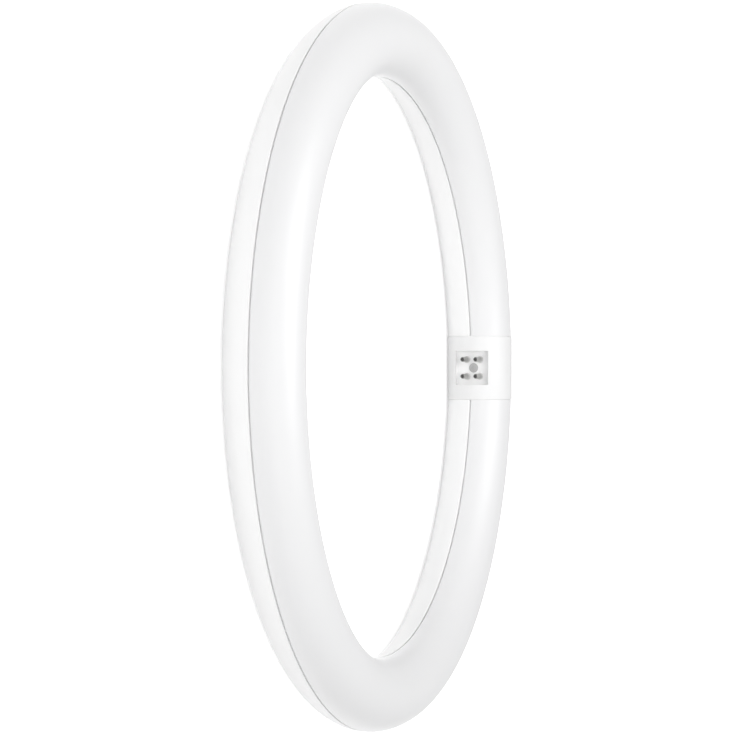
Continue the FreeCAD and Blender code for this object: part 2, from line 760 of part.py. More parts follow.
def make_varistor():
    """A dipped disc that stands on its edge."""
    body = new_body("varistor")
    disc = new_sketch(body, "disc", "YZ_Plane")
    radius = f"({DRIVER_ROOM} - Sizes.varistor_headroom) / 2"
    draw_circle(disc, ("Sizes.ring_radius", f"{DRIVER_TOP} + {radius}"), radius)
    pad(body, "disc_pad", disc, "Sizes.varistor_thickness", Midplane=True)
    return place_on_driver(body, "varistor")


def make_fusible_resistor():
    """A resistor lying on the board, thicker at both ends."""
    body = new_body("fusible_resistor")
    radius = "Sizes.resistor_diameter / 2"
    profile = new_sketch(body, "profile", "XY_Plane", y="Sizes.ring_radius", z=f"{DRIVER_TOP} + {radius}")
    end = "Sizes.resistor_length / 2"
    shoulder = "Sizes.resistor_length / 4"
    waist = f"{radius} - Sizes.can_groove"
    corners = [
        (f"-{end}", "0"),
        (end, "0"),
        (end, radius),
        (shoulder, radius),
        (shoulder, waist),
        (f"-{shoulder}", waist),
        (f"-{shoulder}", radius),
        (f"-{end}", radius),
    ]
    draw_outline(profile, corners)
    revolve(body, "turned", profile, "H_Axis")
    return place_on_driver(body, "resistor")


def make_can_capacitor(label, part, diameter):
    """An electrolytic can lying along the board, with the groove rolled in near its sealed end."""
    body = new_body(label)
    radius = f"{diameter} / 2"
    profile = new_sketch(body, "profile", "XY_Plane", y="Sizes.ring_radius", z=f"{DRIVER_TOP} + {radius}")
    end = f"Sizes.{part}_length / 2"
    groove = f"({end} - 3 * Sizes.can_groove)"
    corners = [
        (f"-{end}", "0"),
        (end, "0"),
        (end, radius),
        (f"{groove} + Sizes.can_groove", radius),
        (groove, f"{radius} - Sizes.can_groove"),
        (f"{groove} - Sizes.can_groove", radius),
        (f"-{end}", radius),
    ]
    draw_outline(profile, corners)
    revolve(body, "turned", profile, "H_Axis")
    return place_on_driver(body, part)


def make_choke_core():
    """A ferrite drum that stands on the board."""
    body = new_body("choke_core")
    profile = new_sketch(body, "profile", "YZ_Plane", x="Sizes.ring_radius", y=DRIVER_TOP)
    flange = "Sizes.choke_diameter / 2"
    waist = "Sizes.choke_waist / 2"
    above = f"{CHOKE_HEIGHT} - Sizes.choke_flange"
    corners = [
        ("0", "0"),
        (flange, "0"),
        (flange, "Sizes.choke_flange"),
        (waist, "Sizes.choke_flange"),
        (waist, above),
        (flange, above),
        (flange, CHOKE_HEIGHT),
        ("0", CHOKE_HEIGHT),
    ]
    draw_outline(profile, corners)
    revolve(body, "turned", profile)
    return place_on_driver(body, "choke")


def make_choke_winding():
    """The winding that fills the drum's waist."""
    body = new_body("choke_winding")
    profile = new_sketch(body, "profile", "YZ_Plane", x="Sizes.ring_radius", y=DRIVER_TOP)
    draw_rectangle(
        profile,
        "Sizes.choke_waist / 2",
        "Sizes.choke_flange",
        "Sizes.choke_diameter / 2 - Sizes.winding_clearance",
        f"{CHOKE_HEIGHT} - Sizes.choke_flange",
    )
    revolve(body, "turned", profile)
    return place_on_driver(body, "choke")


# Leads from the driver to the first board of chips
def make_output_lead(number, across):
    """A stiff lead that stands on the driver board and passes up through the first board of chips."""
    body = new_body(f"output_lead_{number}")
    foot = new_sketch(body, "foot", "XY_Plane", z=DRIVER_TOP)
    draw_circle(foot, ("0", across), "Sizes.lead_diameter / 2")
    pad(body, "wire", foot, f"{BOARD_TOP} + Sizes.lead_stub - {DRIVER_TOP}")
    turn_round_ring(body, board_bearing(0.5))
    return body


# Assembly
def make_parts():
    """Every sub-part, in the order it is put together."""
    parts = [make_rear_housing(), make_driver_board()]
    parts += [make_fusible_resistor(), make_varistor(), make_film_capacitor()]
    parts += [make_moulded_package("bridge_rectifier", "rectifier")]
    parts += [make_can_capacitor("bulk_capacitor", "bulk", BULK_DIAMETER)]
    parts += [make_moulded_package("controller_ic", "controller"), make_choke_core(), make_choke_winding()]
    parts += [make_moulded_package("output_diode", "diode")]
    parts += [make_can_capacitor("output_capacitor", "smoothing", "Sizes.smoothing_diameter")]
    for number in range(1, BOARD_COUNT + 1):
        parts += [make_led_board(number), make_led_chips(number)]
    parts += [make_board_link(number) for number in range(1, BOARD_COUNT)]
    lead_places = [in_from_ring(LEAD_OFFSET), out_from_ring(LEAD_OFFSET)]
    parts += [make_output_lead(number, across) for number, across in enumerate(lead_places, start=1)]
    parts += [make_front_diffuser(), make_base_inner_shell()]
    parts += [make_contact_pin(number, place) for number, place in enumerate(pin_places(), start=1)]
    parts += [make_pin_board()]
    parts += [make_base_outer_shell(), make_base_screw()]
    return parts


def check(parts):
    """Stops on anything that failed to build."""
    document.recompute()
    for item in document.Objects:
        if any(state in ("Invalid", "Error") for state in item.State):
            raise RuntimeError(f"{item.Label} failed: {item.State}")
    for part in parts:
        if part.Shape.isNull() or not part.Shape.isValid():
            raise RuntimeError(f"{part.Label} has no sound solid")


def write(parts):
    os.makedirs("parts", exist_ok=True)
    for part in parts:
        part.Shape.exportStep(f"parts/{part.Label}.step")


all_parts = make_parts()
check(all_parts)
write(all_parts)
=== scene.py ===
"""Circular LED tube lamp: smooth shells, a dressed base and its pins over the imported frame."""

import json
import logging
import math
from dataclasses import dataclass, field
from enum import Enum

import bmesh
import bpy
from mathutils import Matrix, Vector


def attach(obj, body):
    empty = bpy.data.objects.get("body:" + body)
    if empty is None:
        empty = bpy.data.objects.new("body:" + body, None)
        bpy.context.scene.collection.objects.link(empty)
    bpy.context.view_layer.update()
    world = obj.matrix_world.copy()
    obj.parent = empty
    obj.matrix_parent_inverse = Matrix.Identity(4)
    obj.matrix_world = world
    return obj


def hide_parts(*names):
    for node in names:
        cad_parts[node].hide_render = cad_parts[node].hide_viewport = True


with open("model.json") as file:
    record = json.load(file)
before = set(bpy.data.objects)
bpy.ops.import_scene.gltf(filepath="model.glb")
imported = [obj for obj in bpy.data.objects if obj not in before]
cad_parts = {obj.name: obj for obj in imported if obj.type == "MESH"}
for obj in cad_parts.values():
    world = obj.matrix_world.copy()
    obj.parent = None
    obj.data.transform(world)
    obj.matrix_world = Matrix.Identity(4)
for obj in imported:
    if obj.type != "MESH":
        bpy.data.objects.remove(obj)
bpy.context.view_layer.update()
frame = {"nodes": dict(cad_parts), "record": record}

MM = 0.001
DOUBLES = 0.002 * MM
SHARP_ABOVE = 35.0
RELIEF_DEPTH = 0.05 * MM
BASE_AXIS = 134.4 * MM
POCKET_FLOOR = 124.1 * MM
PIN_LENGTH = 8 * MM
SHOULDER_HEIGHT = 2.2 * MM
LOG = logging.getLogger("lamp")
Point = tuple[float, float]
Colour = tuple[float, float, float]


class Half(Enum):
    """The two halves of the tube, by the side of the seam that they lie on."""

    REAR = -1
    FRONT = 1


# Node trees
class Tree:
    """A thin wrapper that adds and links the nodes of one tree."""

    def __init__(self, tree: bpy.types.NodeTree) -> None:
        """Wraps a tree.

        Args:
            tree: a shader or geometry node tree.
        """
        self.tree = tree

    def add(self, kind: str, settings: dict | None = None, **inputs: object) -> bpy.types.Node:
        """Adds a node.

        Args:
            kind: the node's type name.
            settings: properties of the node itself.
            inputs: socket name, with _ for a space, or place as in i0, to a value or the socket that
                feeds it.

        Returns:
            The node.
        """
        node = self.tree.nodes.new(kind)
        for name, setting in (settings or {}).items():
            setattr(node, name, setting)
        for name, source in inputs.items():
            placed = name[0] == "i" and name[1:].isdigit()
            self.feed(node.inputs[int(name[1:]) if placed else name.replace("_", " ")], source)
        return node

    def feed(self, socket: bpy.types.NodeSocket, source: object) -> None:
        """Sets a socket, or links it.

        Args:
            socket: the input.
            source: a value, or the output socket that feeds it.
        """
        if isinstance(source, bpy.types.NodeSocket):
            self.tree.links.new(source, socket)
        else:
            socket.default_value = source

    def mix(self, share: object, first: object, second: object) -> bpy.types.NodeSocket:
        """Blends two colours.

        Args:
            share: how much of the second one there is, from 0 to 1.
            first: a colour, or the socket that feeds it.
            second: a colour, or the socket that feeds it.

        Returns:
            The blend's socket.
        """
        return self.add("ShaderNodeMix", {"data_type": "RGBA"}, i0=share, i6=first, i7=second).outputs[2]

    def math(self, operation: str, first: object, second: object = 0.0) -> bpy.types.NodeSocket:
        """Adds one step of arithmetic.

        Args:
            operation: what the Math node does.
            first: a number or socket.
            second: a number or socket.

        Returns:
            The result's socket.
        """
        return self.add("ShaderNodeMath", {"operation": operation}, i0=first, i1=second).outputs[0]


def new_group(
    name: str, kind: str, inputs: dict[str, tuple], outputs: dict[str, str]
) -> tuple[Tree, bpy.types.Node, bpy.types.Node]:
    """Makes a node group with named sockets.

    Args:
        name: the group's name.
        kind: ShaderNodeTree or GeometryNodeTree.
        inputs: socket name to its type and, for a number, its starting value.
        outputs: socket name to its type.

    Returns:
        The tree, its input node and its output node.
    """
    group = bpy.data.node_groups.new(name, kind)
    for label, (form, *start) in inputs.items():
        socket = group.interface.new_socket(label, in_out="INPUT", socket_type=form)
        if start:
            socket.default_value = start[0]
    for label, form in outputs.items():
        group.interface.new_socket(label, in_out="OUTPUT", socket_type=form)
    tree = Tree(group)
    return tree, tree.add("NodeGroupInput"), tree.add("NodeGroupOutput")


def shape_with_nodes(piece: bpy.types.Object, group: bpy.types.NodeTree, values: dict[str, object]) -> None:
    """Runs a geometry tree on a piece and keeps the result as its plain mesh.

    Args:
        piece: the object that carries the tree's starting geometry.
        group: the geometry tree.
        values: input name to its value.
    """
    modifier = piece.modifiers.new("shape", "NODES")
    modifier.node_group = group
    for socket in group.interface.items_tree:
        if socket.item_type == "SOCKET" and socket.in_out == "INPUT" and socket.name in values:
            modifier[socket.identifier] = values[socket.name]
    keep_result(piece)


def keep_result(piece: bpy.types.Object) -> None:
    """Replaces a piece's mesh with what its modifiers make of it.

    Args:
        piece: the object, whose modifiers are then removed.
    """
    bpy.context.view_layer.update()
    graph = bpy.context.evaluated_depsgraph_get()
    result = bpy.data.meshes.new_from_object(piece.evaluated_get(graph))
    piece.modifiers.clear()
    piece.data = result


# Finishes
def grain_group() -> bpy.types.NodeTree:
    """Builds the fine unevenness that every moulded or plated surface has.

    Returns:
        A shader group that puts out a tinted colour, a roughness and a height.
    """
    tree, given, out = new_group(
        "surface_grain",
        "ShaderNodeTree",
        {
            "Colour": ("NodeSocketColor", (0.8, 0.8, 0.8, 1.0)),
            "Tint": ("NodeSocketFloat", 0.01),
            "Roughness": ("NodeSocketFloat", 0.4),
            "Unevenness": ("NodeSocketFloat", 0.05),
            "Flow Size": ("NodeSocketFloat", 60.0),
            "Grain Size": ("NodeSocketFloat", 2500.0),
        },
        {"Colour": "NodeSocketColor", "Roughness": "NodeSocketFloat", "Height": "NodeSocketFloat"},
    )
    place = tree.add("ShaderNodeTexCoord").outputs["Object"]
    flow_size, grain_size = given.outputs["Flow Size"], given.outputs["Grain Size"]
    flow = tree.add("ShaderNodeTexNoise", Vector=place, Scale=flow_size, Detail=3.0).outputs[0]
    fine = tree.add("ShaderNodeTexNoise", Vector=place, Scale=grain_size, Detail=2.0).outputs[0]
    shade = tree.math("SUBTRACT", 1.0, tree.math("MULTIPLY", given.outputs["Tint"], flow))
    scaled = {"operation": "SCALE"}
    dull = tree.add("ShaderNodeVectorMath", scaled, Vector=given.outputs["Colour"], Scale=shade)
    swing = tree.math("MULTIPLY", tree.math("SUBTRACT", flow, 0.5), given.outputs["Unevenness"])
    tree.feed(out.inputs["Colour"], dull.outputs[0])
    tree.feed(out.inputs["Roughness"], tree.math("ADD", given.outputs["Roughness"], swing))
    tree.feed(out.inputs["Height"], fine)
    return tree.tree


@dataclass(frozen=True)
class Finish:
    """What a surface looks like, with the shared grain behind its colour, roughness and relief."""

    name: str
    colour: Colour
    roughness: float
    metallic: float = 0.0
    tint: float = 0.01
    unevenness: float = 0.05
    flow_size: float = 60.0
    grain_size: float = 2500.0
    relief: float = 0.02
    coat: float = 0.0
    coat_roughness: float = 0.1

    def make(self) -> bpy.types.Material:
        """Builds the material.

        Returns:
            The material, whose constants sit on the shader's own sockets.
        """
        material, tree, shader, grain = self.start()
        tree.feed(shader.inputs["Base Color"], grain.outputs["Colour"])
        return material

    def start(self) -> tuple[bpy.types.Material, Tree, bpy.types.Node, bpy.types.Node]:
        """Builds everything but the colour's link.

        Returns:
            The material, its tree, its shader and its grain.
        """
        material = bpy.data.materials.new(self.name)
        material.use_nodes = True
        tree = Tree(material.node_tree)
        shader = material.node_tree.nodes["Principled BSDF"]
        grain = tree.add(
            "ShaderNodeGroup",
            {"node_tree": bpy.data.node_groups["surface_grain"]},
            Colour=(*self.colour, 1.0),
            Tint=self.tint,
            Roughness=self.roughness,
            Unevenness=self.unevenness,
            Flow_Size=self.flow_size,
            Grain_Size=self.grain_size,
        )
        height = grain.outputs["Height"]
        bump = tree.add("ShaderNodeBump", Strength=self.relief, Distance=RELIEF_DEPTH, Height=height)
        tree.feed(shader.inputs["Roughness"], grain.outputs["Roughness"])
        tree.feed(shader.inputs["Normal"], bump.outputs[0])
        shader.inputs["Metallic"].default_value = self.metallic
        shader.inputs["Coat Weight"].default_value = self.coat
        shader.inputs["Coat Roughness"].default_value = self.coat_roughness
        material.diffuse_color = (*self.colour, 1.0)
        return material, tree, shader, grain


@dataclass(frozen=True)
class PinFinish(Finish):
    """Plated metal that is dark on the pins' round tips, with a painted reflection of the white pocket floor
    that makes it paler toward their conical feet.
    """

    tip_colour: Colour = (0.06, 0.06, 0.06)
    tip_from: float = POCKET_FLOOR - PIN_LENGTH + 0.2 * MM
    tip_to: float = POCKET_FLOOR - PIN_LENGTH + 0.7 * MM
    # Painted reflection: the pale colour toward the feet stands in for the white pocket floor mirrored in the
    # metal.
    foot_reflection_colour: Colour = (0.85, 0.85, 0.84)
    reflection_from: float = POCKET_FLOOR - SHOULDER_HEIGHT
    reflection_to: float = POCKET_FLOOR

    def make(self) -> bpy.types.Material:
        """Builds the material.

        Returns:
            The material, which changes along Y.
        """
        material, tree, shader, grain = self.start()
        place = tree.add("ShaderNodeTexCoord").outputs["Object"]
        along = tree.add("ShaderNodeSeparateXYZ", Vector=place).outputs["Y"]
        shank = tree.add("ShaderNodeMapRange", i0=along, i1=self.tip_from, i2=self.tip_to).outputs[0]
        # Painted reflection of the pocket floor, blended in over the conical shoulder and palest at the
        # floor.
        reflection_share = tree.add("ShaderNodeMapRange", i0=along, i1=self.reflection_from, i2=self.reflection_to).outputs[0]
        plated = tree.mix(reflection_share, grain.outputs["Colour"], (*self.foot_reflection_colour, 1.0))
        tree.feed(shader.inputs["Base Color"], tree.mix(shank, (*self.tip_colour, 1.0), plated))
        return material


@dataclass(frozen=True)
class PocketPaintedLightFinish(Finish):
    """Moulded plastic that is paler in the base's pocket than on its round skin: painted light that brightens
    the pocket's shaded floor and walls.
    """

    # Painted light: this paler colour in the pocket stands in for light on its shaded floor and walls.
    pocket_painted_light_colour: Colour = (0.915, 0.915, 0.915)
    axis: float = BASE_AXIS
    skin: float = 15.3 * MM
    blend: float = 1.0 * MM

    def make(self) -> bpy.types.Material:
        """Builds the material.

        Returns:
            The material, with painted light that makes it paler with the depth below the skin.
        """
        material, tree, shader, grain = self.start()
        place = tree.add("ShaderNodeTexCoord").outputs["Object"]
        parts = tree.add("ShaderNodeSeparateXYZ", Vector=place).outputs
        across, up = tree.math("SUBTRACT", parts["Y"], self.axis), parts["Z"]
        squares = tree.math("ADD", tree.math("MULTIPLY", across, across), tree.math("MULTIPLY", up, up))
        reach = tree.math("SQRT", squares)
        # Painted light: the colour turns paler within the blend below the skin.
        share = tree.add("ShaderNodeMapRange", i0=reach, i1=self.skin - self.blend, i2=self.skin).outputs[0]
        colour = tree.mix(share, (*self.pocket_painted_light_colour, 1.0), grain.outputs["Colour"])
        tree.feed(shader.inputs["Base Color"], colour)
        return material


# Meshes
def new_piece(name: str, mesh: bpy.types.Mesh | None = None) -> bpy.types.Object:
    """Adds an object at the origin.

    Args:
        name: the piece's name.
        mesh: its mesh, or None for an empty one.

    Returns:
        The object.
    """
    piece = bpy.data.objects.new(name, mesh or bpy.data.meshes.new(name))
    bpy.context.scene.collection.objects.link(piece)
    return piece


def smooth(piece: bpy.types.Object, sharp_above: float = SHARP_ABOVE) -> None:
    """Shades a piece smooth between its sharp edges.

    Args:
        piece: the object.
        sharp_above: the angle in degrees past which an edge is sharp.
    """
    piece.data.shade_smooth()
    piece.data.set_sharp_from_angle(angle=math.radians(sharp_above))


def clean(piece: bpy.types.Object, sharp_above: float = SHARP_ABOVE) -> None:
    """Merges doubles, turns faces outward and shades the piece smooth between its sharp edges.

    Args:
        piece: the object.
        sharp_above: the angle in degrees past which an edge is sharp.
    """
    shape = bmesh.new()
    shape.from_mesh(piece.data)
    bmesh.ops.remove_doubles(shape, verts=shape.verts, dist=DOUBLES)
    bmesh.ops.recalc_face_normals(shape, faces=shape.faces)
    shape.to_mesh(piece.data)
    shape.free()
    smooth(piece, sharp_above)


def arc(centre: Point, radius: float, start: float, end: float, steps: int) -> list[Point]:
    """Points along an arc.

    Args:
        centre: the arc's centre.
        radius: its radius.
        start: first angle in degrees.
        end: last angle in degrees.
        steps: how many chords.

    Returns:
        steps + 1 points.
    """
    angles = [math.radians(start + (end - start) * step / steps) for step in range(steps + 1)]
    return [(centre[0] + radius * math.cos(a), centre[1] + radius * math.sin(a)) for a in angles]


def prism(name: str, outline: list[Point], low: float, high: float, turn: Matrix) -> bpy.types.Object:
    """A closed straight solid.

    Args:
        name: the object's name.
        outline: its section.
        low: where it starts along its own z.
        high: where it ends.
        turn: its place and bearing, put into its mesh.

    Returns:
        The object.
    """
    shape = bmesh.new()
    rings = [[shape.verts.new((x, y, z)) for x, y in outline] for z in (low, high)]
    shape.faces.new(rings[0])
    shape.faces.new(rings[1])
    for number in range(len(outline)):
        after = (number + 1) % len(outline)
        shape.faces.new([rings[0][number], rings[0][after], rings[1][after], rings[1][number]])
    shape.transform(turn)
    bmesh.ops.recalc_face_normals(shape, faces=shape.faces)
    piece = new_piece(name)
    shape.to_mesh(piece.data)
    shape.free()
    return piece


def turned(name: str, profile: list[Point], steps: int, turn: Matrix) -> bpy.types.Object:
    """A solid turned about its own z.

    Args:
        name: the object's name.
        profile: (radius, height) from one end of the axis to the other.
        steps: how many faces round.
        turn: its place and bearing, put into its mesh.

    Returns:
        The object.
    """
    shape = bmesh.new()
    verts = [shape.verts.new((radius, 0, height)) for radius, height in profile]
    edges = [shape.edges.new(pair) for pair in zip(verts, verts[1:])]
    bmesh.ops.spin(
        shape, geom=verts + edges, cent=(0, 0, 0), axis=(0, 0, 1), angle=math.tau, steps=steps, use_merge=True
    )
    bmesh.ops.remove_doubles(shape, verts=shape.verts, dist=DOUBLES)
    shape.transform(turn)
    bmesh.ops.recalc_face_normals(shape, faces=shape.faces)
    piece = new_piece(name)
    shape.to_mesh(piece.data)
    shape.free()
    return piece


def combine(piece: bpy.types.Object, others: list[bpy.types.Object], operation: str) -> None:
    """Joins solids to a piece, or cuts them from it.

    Args:
        piece: the object that is kept.
        others: the solids, which are used up.
        operation: UNION or DIFFERENCE.
    """
    for other in others:
        modifier = piece.modifiers.new("combine", "BOOLEAN")
        modifier.operation = operation
        modifier.solver = "EXACT"
        modifier.object = other
    keep_result(piece)
    for other in others:
        bpy.data.objects.remove(other)


def dress(piece: bpy.types.Object, material: bpy.types.Material, slot: str, *nodes: str) -> None:
    """Gives a piece its material and its place in the model.

    Args:
        piece: the finished object.
        material: its finish.
        slot: the record's material slot; not used.
        nodes: the frame's nodes that it stands for.
    """
    piece.data.materials.clear()
    piece.data.materials.append(material)
    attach(piece, "root")
    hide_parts(*nodes)
    LOG.info("%s: %d faces, for %s", piece.name, len(piece.data.polygons), ", ".join(nodes))


# Toward the ring's centre, a solid's own z points along -Y and its own y along Z
INWARD = Matrix(((1, 0, 0), (0, 0, -1), (0, 1, 0))).to_4x4()
# Along the base, a solid's own z points along X, its own x along Y and its own y along Z
ALONG_BASE = Matrix(((0, 0, 1), (1, 0, 0), (0, 1, 0))).to_4x4()


@dataclass
class Tube:
    """The ring of two half shells."""

    ring_radius: float = 135 * MM
    radius: float = 15 * MM
    bore: float = 13.4 * MM
    half_seam: float = 0.3 * MM
    skirt_inside: float = 14.2 * MM
    tongue_outside: float = 14.1 * MM
    tongue_height: float = 1.6 * MM
    rim_round: float = 0.2 * MM
    rim_steps: int = 4
    end_plane: float = 15.08 * MM
    neck_end: float = 10 * MM
    neck_radius: float = 14.4 * MM
    neck_axis: float = BASE_AXIS
    neck_overlap: float = 0.1 * MM
    arc_steps: int = 56
    inner_steps: int = 20
    ring_steps: int = 360
    finishes: dict[Half, Finish] = field(
        default_factory=lambda: {
            Half.REAR: Finish("rear_white", (0.865, 0.865, 0.865), 0.42),
            Half.FRONT: Finish("front_opal", (0.755, 0.755, 0.76), 0.45, coat=0.52, coat_roughness=0.38),
        }
    )

    def rim(self, sign: int) -> list[Point]:
        """The rounded corner between the outside and the seam.

        Args:
            sign: 1 on the right of the section, -1 on the left.

        Returns:
            Points from the seam to the outside, for the front half.
        """
        inner = self.radius - self.rim_round
        height = self.half_seam + self.rim_round
        reach = math.sqrt(inner**2 - height**2)
        bend = math.degrees(math.atan2(height, reach))
        corner = arc((reach, height), self.rim_round, -90, bend, self.rim_steps)
        return [(sign * x, y) for x, y in corner]

    def section(self, half: Half) -> list[Point]:
        """A shell's section about the tube's centre line, x outward from the ring's axis and y up.

        Args:
            half: which shell.

        Returns:
            A closed run of points.
        """
        right, left = self.rim(1), self.rim(-1)[::-1]
        bend = math.degrees(math.atan2(right[-1][1], right[-1][0]))
        outside = right + arc((0, 0), self.radius, bend, 180 - bend, self.arc_steps)[1:-1] + left
        if half is Half.FRONT:
            lift = math.degrees(math.asin(self.tongue_height / self.bore))
            inside = arc((0, 0), self.bore, 180 - lift, lift, self.inner_steps)
            step = [(self.skirt_inside, self.tongue_height), (self.skirt_inside, self.half_seam)]
            mirrored = [(-x, y) for x, y in reversed(step)]
            return outside + mirrored + inside + step
        inside = arc((0, 0), self.bore, 180, 0, self.inner_steps)
        step = [(self.bore, -self.tongue_height), (self.tongue_outside, -self.tongue_height)]
        step.append((self.tongue_outside, self.half_seam))
        mirrored = [(-x, y) for x, y in reversed(step)]
        return [(x, -y) for x, y in outside + mirrored + inside + step]

    def sweep_tree(self) -> bpy.types.NodeTree:
        """Builds the tree that sweeps a section round the ring and ends it in two planes beside the base.

        Returns:
            The geometry tree.
        """
        tree, given, out = new_group(
            "ring_sweep",
            "GeometryNodeTree",
            {
                "Section": ("NodeSocketGeometry",),
                "Ring Radius": ("NodeSocketFloat", 0.1),
                "End Plane": ("NodeSocketFloat", 0.01),
                "Steps": ("NodeSocketInt", 64),
                "Finish": ("NodeSocketMaterial",),
            },
            {"Shell": "NodeSocketGeometry"},
        )
        radius, plane = given.outputs["Ring Radius"], given.outputs["End Plane"]
        opening = tree.math("ARCSINE", tree.math("DIVIDE", plane, radius))
        sweep = tree.math("SUBTRACT", math.tau, tree.math("MULTIPLY", opening, 2.0))
        path = tree.add(
            "GeometryNodeCurveArc",
            {"mode": "RADIUS"},
            Resolution=given.outputs["Steps"],
            Radius=radius,
            Start_Angle=tree.math("ADD", opening, math.pi / 2),
            Sweep_Angle=sweep,
        )
        profile = tree.add("GeometryNodeMeshToCurve", Mesh=given.outputs["Section"])
        swept = tree.add(
            "GeometryNodeCurveToMesh",
            Curve=path.outputs["Curve"],
            Profile_Curve=profile.outputs["Curve"],
            Fill_Caps=True,
        )
        place = tree.add("ShaderNodeSeparateXYZ", Vector=tree.add("GeometryNodeInputPosition").outputs[0])
        x, y, z = place.outputs
        squares = tree.math("ADD", tree.math("MULTIPLY", x, x), tree.math("MULTIPLY", y, y))
        reach = tree.math("SQRT", squares)
        bearing = tree.math("ARCTAN2", tree.math("MULTIPLY", x, -1.0), y)
        bearing = tree.math("FLOORED_MODULO", bearing, math.tau)
        share = tree.math("DIVIDE", tree.math("SUBTRACT", bearing, opening), sweep)
        own_opening = tree.math("ARCSINE", tree.math("DIVIDE", plane, reach))
        own_sweep = tree.math("SUBTRACT", math.tau, tree.math("MULTIPLY", own_opening, 2.0))
        turn = tree.math("ADD", own_opening, tree.math("MULTIPLY", share, own_sweep))
        across = tree.math("MULTIPLY", tree.math("MULTIPLY", reach, tree.math("SINE", turn)), -1.0)
        along = tree.math("MULTIPLY", reach, tree.math("COSINE", turn))
        moved = tree.add("ShaderNodeCombineXYZ", X=across, Y=along, Z=z).outputs[0]
        ended = tree.add("GeometryNodeSetPosition", Geometry=swept.outputs["Mesh"], Position=moved)
        real = tree.add("GeometryNodeRealizeInstances", Geometry=ended.outputs[0])
        finish = given.outputs["Finish"]
        painted = tree.add("GeometryNodeSetMaterial", Geometry=real.outputs[0], Material=finish)
        tree.feed(out.inputs["Shell"], painted.outputs[0])
        return tree.tree

    def necks(self, half: Half) -> list[bpy.types.Object]:
        """The straight turned-down ends that run into the base.

        Args:
            half: which shell.

        Returns:
            Two half pipes.
        """
        wall = self.neck_radius - (self.radius - self.bore)
        lift = math.degrees(math.asin(self.half_seam / self.neck_radius))
        start, end = (lift, 180 - lift) if half is Half.FRONT else (180 + lift, 360 - lift)
        centre = (self.neck_axis, 0)
        outline = arc(centre, self.neck_radius, start, end, self.arc_steps)
        outline += arc(centre, wall, end, start, self.arc_steps)
        far = self.end_plane + self.neck_overlap
        spans = ((-far, -self.neck_end), (self.neck_end, far))
        return [prism("neck", outline, *span, ALONG_BASE) for span in spans]

    def make_shell(self, half: Half, name: str, slot: str, node: str, tree: bpy.types.NodeTree) -> None:
        """Builds and dresses one half.

        Args:
            half: which shell.
            name: the piece's name.
            slot: its material slot.
            node: the frame's node that it stands for.
            tree: the sweep.
        """
        section = [(x, -y, 0) for x, y in self.section(half)]
        shell = new_piece(name)
        count = len(section)
        shell.data.from_pydata(section, [(n, (n + 1) % count) for n in range(count)], [])
        material = self.finishes[half].make()
        values = {
            "Ring Radius": self.ring_radius,
            "End Plane": self.end_plane,
            "Steps": self.ring_steps,
            "Finish": material,
        }
        shape_with_nodes(shell, tree, values)
        clean(shell)
        join(shell, self.necks(half))
        dress(shell, material, slot, node)

    def make(self) -> None:
        """Builds both halves."""
        tree = self.sweep_tree()
        self.make_shell(Half.REAR, "rear_shell", "housing_white", "rear_housing", tree)
        self.make_shell(Half.FRONT, "front_shell", "diffuser_opal", "front_diffuser", tree)


def join(piece: bpy.types.Object, others: list[bpy.types.Object]) -> None:
    """Adds the meshes of other objects to a piece.

    Args:
        piece: the object that is kept.
        others: the objects, which are used up.
    """
    shape = bmesh.new()
    shape.from_mesh(piece.data)
    for other in others:
        shape.from_mesh(other.data)
        bpy.data.objects.remove(other)
    shape.to_mesh(piece.data)
    shape.free()
    smooth(piece)


